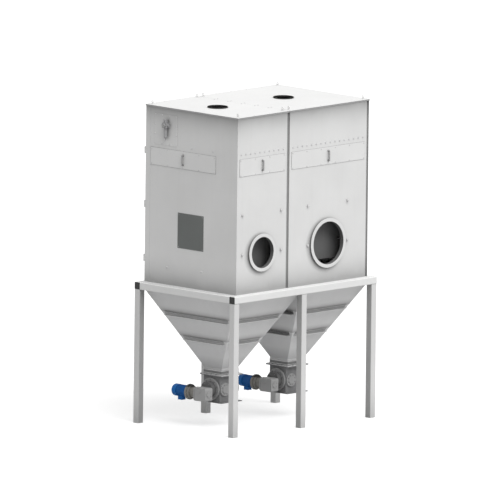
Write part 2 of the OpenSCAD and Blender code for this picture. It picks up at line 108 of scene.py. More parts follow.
def coat_group():
    g = bpy.data.node_groups.new("Coat Detail", "ShaderNodeTree")
    socket(g, "Paint", "INPUT", "NodeSocketColor", (0.8, 0.8, 0.8, 1))
    socket(g, "Dust Tone", "INPUT", "NodeSocketColor", (0.45, 0.43, 0.40, 1))
    socket(g, "Cloud", "INPUT", "NodeSocketFloat", 0.04, 0, 1)
    socket(g, "Streaks", "INPUT", "NodeSocketFloat", 0.05, 0, 1)
    socket(g, "Dust", "INPUT", "NodeSocketFloat", 0.1, 0, 1)
    socket(g, "Peel", "INPUT", "NodeSocketFloat", 0.15, 0, 1)
    socket(g, "Gloss", "INPUT", "NodeSocketFloat", 0.55, 0, 1)
    socket(g, "Grime", "INPUT", "NodeSocketFloat", 0.5, 0, 1)
    socket(g, "Color", "OUTPUT", "NodeSocketColor")
    socket(g, "Roughness", "OUTPUT", "NodeSocketFloat")
    socket(g, "Normal", "OUTPUT", "NodeSocketVector")
    ns, ln = g.nodes, g.links
    gin, gout = ns.new("NodeGroupInput"), ns.new("NodeGroupOutput")
    place = ns.new("ShaderNodeTexCoord").outputs["Object"]
    tall = ns.new("ShaderNodeMapping")
    tall.inputs["Scale"].default_value = (9.0, 9.0, 0.7)
    ln.new(place, tall.inputs["Vector"])
    cloud = ramp(ns, ln, noise(ns, ln, place, 1.7, 4.0), 0.3, 0.7, -1, 1)
    tone = calc(ns, ln, "ADD", calc(ns, ln, "MULTIPLY", cloud, gin.outputs["Cloud"]), 1.0)
    # Painted shade: an occlusion node darkens the paint in corners, in recesses and under edges; the last input of
    # the group sets how much.
    crease = ns.new("ShaderNodeAmbientOcclusion")
    crease.samples = 6
    crease.inputs["Distance"].default_value = 0.45
    closed = calc(ns, ln, "SUBTRACT", 1.0, crease.outputs["AO"], True)
    grime = calc(ns, ln, "MULTIPLY", closed, gin.outputs["Grime"], True)
    tone = calc(ns, ln, "MULTIPLY", tone, calc(ns, ln, "SUBTRACT", 1.0, grime, True))
    streak = ramp(ns, ln, noise(ns, ln, tall.outputs[0], 1.0, 5.0, 0.6), 0.52, 0.78)
    up = ns.new("ShaderNodeSeparateXYZ")
    ln.new(ns.new("ShaderNodeNewGeometry").outputs["Normal"], up.inputs[0])
    flat = ramp(ns, ln, up.outputs[2], 0.35, 0.95)
    speck = ramp(ns, ln, noise(ns, ln, place, 23.0, 6.0, 0.65), 0.42, 0.72)
    dust = calc(ns, ln, "MULTIPLY", calc(ns, ln, "MULTIPLY", flat, speck), gin.outputs["Dust"], True)
    marks = calc(ns, ln, "MULTIPLY", streak, gin.outputs["Streaks"])
    veil = calc(ns, ln, "ADD", dust, marks, True)
    grey = ns.new("ShaderNodeCombineColor")
    for i in range(3):
        ln.new(tone, grey.inputs[i])
    toned = mix_rgb(ns, ln, "MULTIPLY", 1.0, gin.outputs["Paint"], grey.outputs[0])
    ln.new(mix_rgb(ns, ln, "MIX", veil, toned, gin.outputs["Dust Tone"]), gout.inputs["Color"])
    shine = calc(ns, ln, "SUBTRACT", 1.0, gin.outputs["Gloss"])
    ln.new(calc(ns, ln, "ADD", shine, calc(ns, ln, "MULTIPLY", veil, 0.5), True), gout.inputs["Roughness"])
    bump = ns.new("ShaderNodeBump")
    bump.inputs["Distance"].default_value = 0.0006
    ln.new(gin.outputs["Peel"], bump.inputs["Strength"])
    ln.new(noise(ns, ln, place, 260.0, 2.0), bump.inputs["Height"])
    ln.new(bump.outputs[0], gout.inputs["Normal"])
    return g


def metal_group():
    g = bpy.data.node_groups.new("Metal Detail", "ShaderNodeTree")
    socket(g, "Metal", "INPUT", "NodeSocketColor", (0.5, 0.5, 0.5, 1))
    socket(g, "Dark", "INPUT", "NodeSocketColor", (0.2, 0.2, 0.2, 1))
    socket(g, "Grain", "INPUT", "NodeSocketFloat", 180.0, 1, 2000)
    socket(g, "Stain", "INPUT", "NodeSocketFloat", 0.3, 0, 1)
    socket(g, "Relief", "INPUT", "NodeSocketFloat", 0.3, 0, 1)
    socket(g, "Roughness", "INPUT", "NodeSocketFloat", 0.45, 0, 1)
    socket(g, "Color", "OUTPUT", "NodeSocketColor")
    socket(g, "Roughness", "OUTPUT", "NodeSocketFloat")
    socket(g, "Normal", "OUTPUT", "NodeSocketVector")
    ns, ln = g.nodes, g.links
    gin, gout = ns.new("NodeGroupInput"), ns.new("NodeGroupOutput")
    place = ns.new("ShaderNodeTexCoord").outputs["Object"]
    grain = noise(ns, ln, place, gin.outputs["Grain"], 4.0, 0.6)
    patch = ramp(ns, ln, noise(ns, ln, place, 9.0, 5.0, 0.6), 0.4, 0.75)
    stain = calc(ns, ln, "MULTIPLY", patch, gin.outputs["Stain"], True)
    fine = mix_rgb(ns, ln, "MIX", ramp(ns, ln, grain, 0.35, 0.7, 0.0, 0.25),
                   gin.outputs["Metal"], gin.outputs["Dark"])
    ln.new(mix_rgb(ns, ln, "MIX", stain, fine, gin.outputs["Dark"]), gout.inputs["Color"])
    ln.new(calc(ns, ln, "ADD", gin.outputs["Roughness"], calc(ns, ln, "MULTIPLY", stain, 0.3), True),
           gout.inputs["Roughness"])
    bump = ns.new("ShaderNodeBump")
    bump.inputs["Distance"].default_value = 0.0008
    ln.new(gin.outputs["Relief"], bump.inputs["Strength"])
    ln.new(grain, bump.inputs["Height"])
    ln.new(bump.outputs[0], gout.inputs["Normal"])
    return g


COAT, METAL = coat_group(), metal_group()
print("node groups:", COAT.name, "and", METAL.name)

# %% [markdown]
# ## Materials
# One function sets up a coated surface and one a metal surface. The numbers are linear colours.
# The left side of the machine looks darker in the photograph because of the light, not because
# of its paint, so both sides share one off-white. Some materials also get a dark part: the walls
# painted shade at their foot and under the roof, the inlets painted shade inside the duct, the
# motor ring its upper side, and the valve cover painted shade on the bearing hub around the shaft.
# The legs, the hopper slopes and channels and the wall beside each inlet ring get painted shade too.

# %% Materials
def surface(name, group, values, metallic=0.0, coat=0.0, specular=0.5):
    m = bpy.data.materials.new(name)
    m.use_nodes = True
    ns, ln = m.node_tree.nodes, m.node_tree.links
    shader = ns["Principled BSDF"]
    g = ns.new("ShaderNodeGroup")
    g.node_tree = group
    for key, value in values.items():
        g.inputs[key].default_value = (*value, 1) if isinstance(value, tuple) else value
    ln.new(g.outputs["Color"], shader.inputs["Base Color"])
    ln.new(g.outputs["Roughness"], shader.inputs["Roughness"])
    ln.new(g.outputs["Normal"], shader.inputs["Normal"])
    shader.inputs["Metallic"].default_value = metallic
    shader.inputs["Coat Weight"].default_value = coat
    shader.inputs["Coat Roughness"].default_value = 0.25
    shader.inputs["Specular IOR Level"].default_value = specular
    return m


def paint(name, tone, **kw):
    values = {"Paint": tone, "Gloss": kw.pop("gloss", 0.5)}
    for key in ("Cloud", "Streaks", "Dust", "Peel", "Grime"):
        if key.lower() in kw:
            values[key] = kw.pop(key.lower())
    if "dust_tone" in kw:
        values["Dust Tone"] = kw.pop("dust_tone")
    return surface(name, COAT, values, **kw)


def metal(name, tone, dark, rough, grain=180.0, stain=0.3, relief=0.3, **kw):
    return surface(name, METAL, {"Metal": tone, "Dark": dark, "Roughness": rough, "Grain": grain,
                                 "Stain": stain, "Relief": relief}, **kw)


# Several paints below set the strength of the painted shade that Coat Detail lays in corners, in recesses and under
# edges.
MAT = {
    "frame": paint("Frame paint", (0.90, 0.90, 0.895), gloss=0.45, cloud=0.02, streaks=0.04, grime=0.3),
    "leg": paint("Leg paint", (0.78, 0.78, 0.775), gloss=0.45, cloud=0.02, streaks=0.04),
    "body": paint("Body paint", (0.85, 0.85, 0.845), gloss=0.45, cloud=0.03, streaks=0.05),
    "hatch": paint("Hatch paint", (0.87, 0.87, 0.865), gloss=0.45, cloud=0.03, streaks=0.03),
    "roof": paint("Roof paint", (0.88, 0.88, 0.875), gloss=0.4, cloud=0.02, streaks=0.0, dust=0.05),
    # The joint strips are dark grey as painted shade for the shaded recess where the chambers meet.
    "strip": paint("Joint strip painted shade", (0.34, 0.34, 0.34), gloss=0.4, streaks=0.2),
    "hopper": paint("Hopper paint", (0.92, 0.92, 0.92), gloss=0.4, cloud=0.03, streaks=0.06, grime=0.18),
    "rib": paint("Rib paint", (0.92, 0.92, 0.92), gloss=0.4, cloud=0.04, dust=0.1, grime=0.3),
    # The baffles are near black as painted shade for the dark inside of the chambers; their dust and streaks are
    # real.
    "baffle": paint("Baffle painted shade", (0.17, 0.17, 0.17), gloss=0.3, cloud=0.08, dust=0.6, streaks=0.3, grime=0.3),
    "handle": paint("Handle paint", (0.42, 0.42, 0.42), gloss=0.5, dust=0.1),
    "plate": paint("Plate paint", (0.155, 0.165, 0.160), gloss=0.35, cloud=0.06, streaks=0.03),
    "cap": paint("Black plastic", (0.022, 0.022, 0.022), gloss=0.35, peel=0.35, dust=0.08),
    "rubber": paint("Gasket rubber", (0.48, 0.48, 0.48), gloss=0.15, peel=0.5),
    # The seal foam is painted shade under the roof edge.
    "foam": paint("Seal foam painted shade", (0.60, 0.60, 0.60), gloss=0.1, peel=0.6, dust=0.2),
    # The black edge trim is painted shade inside the roof holes.
    "trim": paint("Edge trim rubber", (0.012, 0.012, 0.012), gloss=0.25, peel=0.4, dust=0.0),
    "sleeve": paint("Sleeve rubber", (0.24, 0.24, 0.24), gloss=0.25, peel=0.5, dust=0.4, cloud=0.2),
    "ring": metal("Bright ring", (0.40, 0.40, 0.40), (0.2, 0.2, 0.2), 0.45, 200.0, 0.25, 0.25),
    "regulator": paint("Regulator casting", (0.42, 0.42, 0.425), gloss=0.45, peel=0.3, grime=0.4),
    "gear": paint("Gear housing paint", (0.43, 0.43, 0.43), gloss=0.4, cloud=0.08, peel=0.6, dust=0.2, grime=0.3),
    "adapter": paint("Motor ring paint", (0.27, 0.26, 0.24), gloss=0.4, cloud=0.15, peel=0.6, dust=0.1, grime=0.3),
    "motor": paint("Motor paint", (0.001, 0.14, 0.47), gloss=0.5, cloud=0.06, peel=0.3, grime=0.2, specular=0.3),
    "valve": metal("Painted casting", (0.27, 0.27, 0.275), (0.11, 0.11, 0.11), 0.6, 140.0, 0.35, 0.5, specular=0.3),
    "cover": metal("Machined cover", (0.40, 0.40, 0.40), (0.20, 0.20, 0.20), 0.5, 160.0, 0.3, 0.3),
    "steel": metal("Zinc steel", (0.55, 0.55, 0.55), (0.25, 0.25, 0.25), 0.38, 500.0, 0.3, 0.15, metallic=0.7),
    "bolt": metal("Dull bolt steel", (0.74, 0.74, 0.74), (0.45, 0.45, 0.45), 0.45, 600.0, 0.3, 0.15, metallic=0.2),
    "rotor": metal("Rotor steel", (0.30, 0.30, 0.30), (0.10, 0.09, 0.08), 0.5, 240.0, 0.5, 0.2, metallic=0.8),
    "dial": paint("Dial enamel", (0.46, 0.46, 0.45), gloss=0.6, cloud=0.02),
}


def darken(key, tone, measure):
    """Mix a dark tone into a material where measure(nodes, links, place) gives 1."""
    ns, ln = MAT[key].node_tree.nodes, MAT[key].node_tree.links
    base = ns["Principled BSDF"].inputs["Base Color"]
    plain = base.links[0].from_socket
    place = ns.new("ShaderNodeTexCoord").outputs["Object"]
    ln.new(mix_rgb(ns, ln, "MIX", measure(ns, ln, place), plain, (*tone, 1)), base)


ROTOR_Z, MOTOR_Z = 0.522, 0.475
INLET_R = {"a": 0.215, "b": 0.296}


def above_motor(ns, ln, place):
    parts = ns.new("ShaderNodeSeparateXYZ")
    ln.new(place, parts.inputs[0])
    rough_edge = calc(ns, ln, "MULTIPLY", noise(ns, ln, place, 40.0), 0.02)
    return ramp(ns, ln, calc(ns, ln, "ADD", parts.outputs[2], rough_edge), MOTOR_Z + 0.074, MOTOR_Z + 0.088)


def shade_near_shaft(ns, ln, place):
    # Painted shade on the bearing hub: a dark disc around the rotor axis.
    flat = ns.new("ShaderNodeMapping")
    flat.inputs["Location"].default_value = (0, 0, -ROTOR_Z)
    flat.inputs["Scale"].default_value = (0, 1, 1)
    ln.new(place, flat.inputs["Vector"])
    far = ns.new("ShaderNodeVectorMath")
    far.operation = "LENGTH"
    ln.new(flat.outputs[0], far.inputs[0])
    return ramp(ns, ln, far.outputs["Value"], 0.108, 0.112, 0.85, 0.0)


def shade_at_wall_ends(ns, ln, place):
    """Painted shade: rises softly towards the foot of the walls and towards the roof edge."""
    parts = ns.new("ShaderNodeSeparateXYZ")
    ln.new(place, parts.inputs[0])
    reach = calc(ns, ln, "MULTIPLY", noise(ns, ln, place, 2.5), 0.08)
    foot = calc(ns, ln, "SUBTRACT", calc(ns, ln, "SUBTRACT", parts.outputs[2], WALL_LO), reach)
    head = calc(ns, ln, "SUBTRACT", calc(ns, ln, "SUBTRACT", WALL_HI, parts.outputs[2]), reach)
    low = calc(ns, ln, "POWER", ramp(ns, ln, foot, 0.0, 0.42, 1.0, 0.0), 2.2)
    top = calc(ns, ln, "POWER", ramp(ns, ln, head, 0.0, 0.50, 1.0, 0.0), 3.0)
    return calc(ns, ln, "ADD", calc(ns, ln, "MULTIPLY", low, 0.44), calc(ns, ln, "MULTIPLY", top, 0.50), True)


def shade_in_duct(centre, r):
    # Painted shade inside the inlet bore: dark within radius r of the inlet centre.
    def measure(ns, ln, place):
        flat = ns.new("ShaderNodeMapping")
        flat.inputs["Location"].default_value = (-centre[0], 0, -centre[1])
        flat.inputs["Scale"].default_value = (1, 0, 1)
        ln.new(place, flat.inputs["Vector"])
        far = ns.new("ShaderNodeVectorMath")
        far.operation = "LENGTH"
        ln.new(flat.outputs[0], far.inputs[0])
        return ramp(ns, ln, far.outputs["Value"], r + 0.001, r + 0.002, 0.9, 0.0)
    return measure


def shaded_sides(ns, ln, place):
    """Painted shade on the leg sides that look under the machine."""
    at, way = ns.new("ShaderNodeSeparateXYZ"), ns.new("ShaderNodeSeparateXYZ")
    ln.new(place, at.inputs[0])
    ln.new(ns.new("ShaderNodeNewGeometry").outputs["Normal"], way.inputs[0])
    near_leg = calc(ns, ln, "MULTIPLY", ramp(ns, ln, at.outputs[0], -1.2, -0.2, 0.0, 0.38),
                    ramp(ns, ln, at.outputs[1], -0.1, 0.1, 1.0, 0.0))
    to_left = calc(ns, ln, "MULTIPLY", ramp(ns, ln, way.outputs[0], -0.9, -0.4, 1.0, 0.0), near_leg)
    far_leg = calc(ns, ln, "MULTIPLY", ramp(ns, ln, at.outputs[0], -1.30, -1.28, 0.42, 0.0),
                   ramp(ns, ln, at.outputs[1], 0.5, 0.6))
    to_front = calc(ns, ln, "MULTIPLY", ramp(ns, ln, way.outputs[1], -0.9, -0.4, 1.0, 0.0), far_leg)
    return calc(ns, ln, "ADD", to_left, to_front, True)


def shade_on_left_slopes(ns, ln, place):
    """Painted shade on the outer left slope of the narrow hopper."""
    at, way = ns.new("ShaderNodeSeparateXYZ"), ns.new("ShaderNodeSeparateXYZ")
    ln.new(place, at.inputs[0])
    ln.new(ns.new("ShaderNodeNewGeometry").outputs["Normal"], way.inputs[0])
    return calc(ns, ln, "MULTIPLY", ramp(ns, ln, way.outputs[0], -0.6, -0.4, 1.0, 0.0),
                ramp(ns, ln, at.outputs[0], -0.6, -0.1, 0.09, 0.0))


def shade_in_channels(ns, ln, place):
    """Painted shade in the upper half of each channel, and on all of its back wall on the side between the hoppers.
    """
    at, way = ns.new("ShaderNodeSeparateXYZ"), ns.new("ShaderNodeSeparateXYZ")
    ln.new(place, at.inputs[0])
    ln.new(ns.new("ShaderNodeNewGeometry").outputs["Normal"], way.inputs[0])
    total = calc(ns, ln, "MULTIPLY", ramp(ns, ln, way.outputs[0], -0.6, -0.4, 1.0, 0.0),
                 ramp(ns, ln, at.outputs[0], -0.2, -0.1, 0.0, 0.45))
    for row in CHANNEL_Z:
        lower = ramp(ns, ln, at.outputs[2], row - 0.036, row - 0.018, 0.0, 0.38)
        upper = ramp(ns, ln, at.outputs[2], row + 0.005, row + 0.015, 1.0, 0.0)
        total = calc(ns, ln, "ADD", total, calc(ns, ln, "MULTIPLY", lower, upper), True)
    return total


def shade_above_channels(ns, ln, place):
    """Painted shade above each channel that fades up the slope, and towards the lower end of the hopper."""
    parts = ns.new("ShaderNodeSeparateXYZ")
    ln.new(place, parts.inputs[0])
    z = parts.outputs[2]
    total = ramp(ns, ln, z, HOPPER_NECK_Z, HOPPER_NECK_Z + 0.17, 0.26, 0.0)
    for row in CHANNEL_Z:
        fade = calc(ns, ln, "POWER", ramp(ns, ln, z, row, row + 0.090, 1.0, 0.0), 1.5)
        above = ramp(ns, ln, z, row - 0.002, row + 0.002, 0.0, 0.42)
        total = calc(ns, ln, "ADD", total, calc(ns, ln, "MULTIPLY", fade, above), True)
    return total


def shadow_beside_ring(centre, r):
    """Painted shadow in the corner between wall and flange ring, most of it low and to the left."""
    def measure(ns, ln, place):
        flat = ns.new("ShaderNodeMapping")
        flat.inputs["Location"].default_value = (0.035 - centre[0], 0, 0.020 - centre[1])
        flat.inputs["Scale"].default_value = (1, 0, 1)
        ln.new(place, flat.inputs["Vector"])
        far = ns.new("ShaderNodeVectorMath")
        far.operation = "LENGTH"
        ln.new(flat.outputs[0], far.inputs[0])
        ring = ramp(ns, ln, far.outputs["Value"], r - 0.035, r + 0.050, 0.45, 0.0)
        parts = ns.new("ShaderNodeSeparateXYZ")
        ln.new(place, parts.inputs[0])
        return calc(ns, ln, "MULTIPLY", ring, ramp(ns, ln, parts.outputs[1], FRONT_Y, FRONT_Y + 0.02, 1.0, 0.0))
    return measure


HOPPER_NECK_Z, CHANNEL_Z = 0.815, (1.570, 1.235)
FRONT_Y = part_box("front_wall_a")[0].y + 0.005
wall_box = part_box("left_wall")
WALL_LO, WALL_HI = wall_box[0].z, wall_box[1].z
# Except for the motor rings, each darkening below is painted shade or shadow: on the legs under the machine, on the
# hopper slopes and channels, on the bearing hubs, at the ends of the walls, in the inlet bores and beside the inlet
# rings.
darken("adapter", (0.045, 0.045, 0.042), above_motor)
darken("leg", (0.05, 0.05, 0.05), shaded_sides)
darken("hopper", (0.05, 0.05, 0.05), shade_above_channels)
darken("hopper", (0.05, 0.05, 0.05), shade_on_left_slopes)
darken("rib", (0.05, 0.05, 0.05), shade_in_channels)
darken("cover", (0.10, 0.10, 0.10), shade_near_shaft)
for key in ("body", "strip"):
    darken(key, (0.05, 0.05, 0.05), shade_at_wall_ends)
for key in ("a", "b"):
    lo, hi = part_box("inlet_collar_" + key)
    MAT["collar_" + key] = paint("Inlet paint " + key.upper(), (0.86, 0.86, 0.855), gloss=0.45, cloud=0.02)
    centre = ((lo.x + hi.x) / 2, (lo.z + hi.z) / 2)
    darken("collar_" + key, (0.09, 0.09, 0.09), shade_in_duct(centre, INLET_R[key]))
    darken("body", (0.05, 0.05, 0.05), shadow_beside_ring(centre, (hi.x - lo.x) / 2))

NODE_MATERIAL = {
    "legs": "leg", "long_beams": "frame", "cross_beams": "frame", "beam_end_caps": "cap",
    "roof_a": "roof", "roof_b": "roof", "joint_posts": "strip", "hatch_front_a": "hatch",
    "hatch_front_b": "hatch", "hatch_left": "hatch", "hatch_handles": "handle",
    "inlet_collar_a": "collar_a", "inlet_collar_b": "collar_b", "inlet_baffle_a": "baffle",
    "inlet_baffle_b": "baffle", "baffle_studs": "steel", "square_plate": "plate",
    "service_cover": "body", "air_regulator": "regulator", "lifting_eyes": "frame",
    "door_hinges": "hatch", "hopper_a": "hopper", "hopper_b": "hopper", "hopper_ribs": "rib",
    "valve_casing_a": "valve", "valve_casing_b": "valve", "valve_end_covers": "cover",
    "valve_rotor_a": "rotor", "valve_rotor_b": "rotor", "gearbox_a": "gear", "gearbox_b": "gear",
    "motor_adapters": "adapter", "motor_a": "motor", "motor_b": "motor",
}
for name, node in NODES.items():
    node.data.materials.clear()
    node.data.materials.append(MAT[NODE_MATERIAL.get(name, "body")])
print(len(MAT), "materials on", len(NODES), "nodes")

# %% [markdown]
# ## Tools for small pieces
# Bolts are hexagons with a bevelled crown on a washer, screws are flat domes. Both are built at
# the origin along +Z and turned to the face they sit on. All bolts of one kind share an object.

# %% Bolt, strip and bead builders
def facing(at, axis):
    turn = Vector((0, 0, 1)).rotation_difference(Vector(axis)).to_matrix().to_4x4()
    return Matrix.Translation(Vector(at)) @ turn


def add_bolt(bm, at, axis, across=0.017, head=0.0065):
    m = facing(at, axis)
    bmesh.ops.create_cone(bm, cap_ends=True, segments=24, radius1=across * 0.72,
                          radius2=across * 0.69, depth=0.002, matrix=m @ Matrix.Translation((0, 0, 0.001)))
    made = bmesh.ops.create_cone(bm, cap_ends=True, segments=6, radius1=across * 0.577,
                                 radius2=across * 0.577, depth=head,
                                 matrix=m @ Matrix.Translation((0, 0, 0.002 + head / 2)))
    back = m.inverted()
    top = {v for v in made["verts"] if (back @ v.co).z > head * 0.9}
    crown = [e for e in bm.edges if e.verts[0] in top and e.verts[1] in top]
    bmesh.ops.bevel(bm, geom=crown, offset=0.0012, affect="EDGES", segments=2, profile=0.5, material=-1)


def add_screw(bm, at, axis, d=0.016, head=0.005):
    m = facing(at, axis)
    made = bmesh.ops.create_cone(bm, cap_ends=True, segments=18, radius1=d / 2, radius2=d / 2,
                                 depth=head, matrix=m @ Matrix.Translation((0, 0, head / 2)))
    back = m.inverted()
    top = {v for v in made["verts"] if (back @ v.co).z > head * 0.9}
    rim = [e for e in bm.edges if e.verts[0] in top and e.verts[1] in top]
    bmesh.ops.bevel(bm, geom=rim, offset=head * 0.6, affect="EDGES", segments=3, profile=0.5, material=-1)


def add_box(bm, lo, hi, soft=0.0):
    made = bmesh.ops.create_cube(bm, size=1.0)
    lo, hi = Vector(lo), Vector(hi)
    for v in made["verts"]:
        v.co = Vector(((hi[i] - lo[i]) * (v.co[i] + 0.5) + lo[i] for i in range(3)))
    if soft:
        edges = {e for v in made["verts"] for e in v.link_edges}
        bmesh.ops.bevel(bm, geom=list(edges), offset=soft, affect="EDGES", segments=2,
                        profile=0.5, material=-1)


def add_bead(bm, a, b, r, sides=6, waves=0.0):
    """A weld bead or cable from a to b, with slow ripples along it when waves is set."""
    a, b = Vector(a), Vector(b)
    length = (b - a).length
    steps = max(1, int(length / 0.03)) if waves else 1
    made = bmesh.ops.create_cone(bm, cap_ends=True, segments=sides, radius1=r, radius2=r,
                                 depth=length, matrix=facing((a + b) / 2, b - a))
    if steps > 1:
        axis = (b - a).normalized()
        edges = [e for e in {e for v in made["verts"] for e in v.link_edges}
                 if abs((e.verts[0].co - e.verts[1].co).normalized().dot(axis)) > 0.99]
        cut = bmesh.ops.subdivide_edges(bm, edges=edges, cuts=min(steps, 60), use_grid_fill=False)
        for v in {g for g in cut["geom_inner"] if isinstance(g, bmesh.types.BMVert)}:
            along = (v.co - a).dot(axis)
            core = a + axis * along
            v.co = core + (v.co - core) * (1 + waves * math.sin(along * 210))


def finish_piece(name, bm, material, smooth=True):
    mesh = bpy.data.meshes.new(name)
    bmesh.ops.recalc_face_normals(bm, faces=bm.faces)
    bm.to_mesh(mesh)
    bm.free()
    piece = bpy.data.objects.new(name, mesh)
    bpy.context.collection.objects.link(piece)
    mesh.materials.append(MAT[material])
    if smooth:
        mesh.shade_smooth()
        mesh.set_sharp_from_angle(angle=math.radians(35))
    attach(piece, "root")
    print(f"{name}: {len(mesh.polygons)} faces")
    return piece


def spaced(lo, hi, count):
    return [lo + (hi - lo) * i / (count - 1) for i in range(count)]

# %% [markdown]
# ## Screws and gaskets of the hatches
# Each hatch has screws about 290 mm apart along its long edges and lies on a dark gasket that
# shows as a thin line around it. Above the front hatches runs a row of bolts 92 mm apart, which
# holds the filter plate inside.

# %% Hatches, bolt rows
body_lo, body_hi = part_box("left_wall")
wall_x = body_lo.x
front_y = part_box("front_wall_a")[0].y
screws, rows, seals = bmesh.new(), bmesh.new(), bmesh.new()
for name in ("hatch_front_a", "hatch_front_b"):
    lo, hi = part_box(name)
    n = round((hi.x - lo.x) / 0.29) + 1
    for x in spaced(lo.x + 0.018, hi.x - 0.018, n):
        for z in (lo.z + 0.016, hi.z - 0.016):
            add_screw(screws, (x, lo.y, z), (0, -1, 0))
    for x in spaced(lo.x + 0.026, hi.x - 0.032, 10 if name.endswith("a") else 16):
        add_bolt(rows, (x, front_y, 3.915), (0, -1, 0))
    add_box(seals, (lo.x - 0.003, lo.y + 0.002, lo.z - 0.003), (hi.x + 0.003, front_y + 0.0005, hi.z + 0.003), 0.001)
lo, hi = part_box("hatch_left")
for y in spaced(lo.y + 0.018, hi.y - 0.018, 5):
    for z in (lo.z + 0.016, hi.z - 0.016):
        add_screw(screws, (lo.x, y, z), (-1, 0, 0))
for y in (0.568, 0.406, -0.005, -0.405):
    add_bolt(rows, (wall_x, y, 3.915), (-1, 0, 0))
add_box(seals, (lo.x + 0.002, lo.y - 0.004, lo.z - 0.004), (wall_x + 0.0005, hi.y + 0.004, hi.z + 0.004), 0.001)
finish_piece("hatch_screws", screws, "bolt")
finish_piece("bolt_rows", rows, "bolt")
finish_piece("hatch_gaskets", seals, "rubber")

# %% [markdown]
# ## Roof and left face fittings
# Bolts join the two roof sheets along their seam. The service cover is screwed on all round, the
# regulator gets its knob grooves and a gauge, the blank plate gets corner rivets.

# %% Roof bolts, cover screws, regulator
a_lo, a_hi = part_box("roof_a")
b_lo, b_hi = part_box("roof_b")
bm = bmesh.new()
for x in (a_hi.x - 0.03, b_lo.x + 0.03):
    for y in spaced(a_lo.y + 0.12, a_hi.y - 0.12, 7):
        add_bolt(bm, (x, y, a_hi.z), (0, 0, 1), 0.015)
for lo, hi in ((a_lo, a_hi), (b_lo, b_hi)):
    n = round((hi.x - lo.x) / 0.28)
    for x in spaced(lo.x + 0.05, hi.x - 0.05, n):
        for y in (lo.y + 0.035, hi.y - 0.035):
            add_screw(bm, (x, y, hi.z), (0, 0, 1), 0.014)
finish_piece("roof_bolts", bm, "bolt")

bm = bmesh.new()
lo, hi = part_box("service_cover")
for y in spaced(lo.y + 0.016, hi.y - 0.016, 4):
    for z in (lo.z + 0.016, hi.z - 0.016):
        add_screw(bm, (lo.x, y, z), (-1, 0, 0))
for z in spaced(lo.z + 0.016, hi.z - 0.016, 4)[1:-1]:
    for y in (lo.y + 0.016, hi.y - 0.016):
        add_screw(bm, (lo.x, y, z), (-1, 0, 0))
for y, z in ((0.455, 2.211), (0.43, 2.211), (-0.201, 2.222), (-0.226, 2.222)):
    add_bolt(bm, (wall_x, y, z), (-1, 0, 0), 0.015)
finish_piece("left_face_screws", bm, "bolt")

bm = bmesh.new()
lo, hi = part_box("square_plate")
for y in (lo.y + 0.02, hi.y - 0.02):
    for z in (lo.z + 0.02, hi.z - 0.02):
        add_screw(bm, (lo.x, y, z), (-1, 0, 0), 0.010, 0.0025)
finish_piece("plate_rivets", bm, "steel")

lo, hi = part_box("air_regulator")
mid_y, knob_x = (lo.y + hi.y) / 2, hi.x - 0.035
bm = bmesh.new()
for k in range(18):
    t = k * math.tau / 18
    at = (knob_x + 0.0275 * math.cos(t), mid_y + 0.0275 * math.sin(t))
    add_bead(bm, (*at, hi.z - 0.036), (*at, hi.z - 0.008), 0.0025)
finish_piece("regulator_knob_grips", bm, "regulator")
bm = bmesh.new()
bmesh.ops.create_cone(bm, cap_ends=True, segments=40, radius1=0.021, radius2=0.021, depth=0.002,
                      matrix=facing((lo.x - 0.0005, mid_y, 4.187), (-1, 0, 0)))
finish_piece("gauge_face", bm, "dial")
bm = bmesh.new()
for k in range(9):
    t = math.radians(-40 + k * 32.5)
    u = Vector((0, math.cos(t), math.sin(t)))
    c = Vector((lo.x - 0.0016, mid_y, 4.187))
    add_bead(bm, c + u * 0.015, c + u * 0.019, 0.0006, 4)
add_bead(bm, (lo.x - 0.002, mid_y, 4.187), (lo.x - 0.002, mid_y - 0.011, 4.197), 0.0008, 4)
finish_piece("gauge_marks", bm, "cap")

# %% [markdown]
# ## Roof seal
# A dark foam strip closes the joint under the overhang of the roof. It is thin and low, and it
# is painted shade: with the shadow of the roof edge it draws the soft dark line along the top of
# the walls.

# %% Seal under the roof edge
# Painted shade: the grey foam strip under the roof edge.
bm = bmesh.new()
top, x0, x1 = a_lo.z, a_lo.x + 0.015, b_hi.x - 0.015
y0, y1 = a_lo.y + 0.015, a_hi.y - 0.015
t, h = 0.006, 0.020
add_box(bm, (x0 - t, y0 - t, top - h), (x1 + t, y0, top), 0.0015)
add_box(bm, (x0 - t, y1, top - h), (x1 + t, y1 + t, top), 0.0015)
add_box(bm, (x0 - t, y0, top - h), (x0, y1, top), 0.0015)
add_box(bm, (x1, y0, top - h), (x1 + t, y1, top), 0.0015)
finish_piece("roof_seal_shade_line", bm, "foam")

# %% [markdown]
# ## Inlet, baffle and door details
# Hex nuts close the baffle studs, a weld bead joins each collar to the wall, and the doors get
# hinge screws and pins.

# %% Nuts, collar welds, hinge screws
bm = bmesh.new()
for a, dx in (("inlet_collar_a", 0.384), ("inlet_collar_b", 0.391)):
    lo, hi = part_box(a)
    cx, cz = (lo.x + hi.x) / 2, (lo.z + hi.z) / 2
    for x in (cx - dx, cx + dx):
        for z in (cz, cz + 0.55):
            add_bolt(bm, (x, front_y - 0.012, z), (0, -1, 0), 0.024, 0.010)
finish_piece("stud_nuts", bm, "bolt")

bm = bmesh.new()
for name, d in (("inlet_collar_a", 0.440), ("inlet_collar_b", 0.602)):
    lo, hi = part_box(name)
    c = Vector(((lo.x + hi.x) / 2, front_y, (lo.z + hi.z) / 2))
    ring = [c + Vector((math.cos(t), 0, math.sin(t))) * (d / 2 + 0.001)
            for t in [k * math.tau / 72 for k in range(73)]]
    for p, q in zip(ring, ring[1:]):
        add_bead(bm, p, q, 0.004, 6)
finish_piece("collar_welds", bm, "frame")

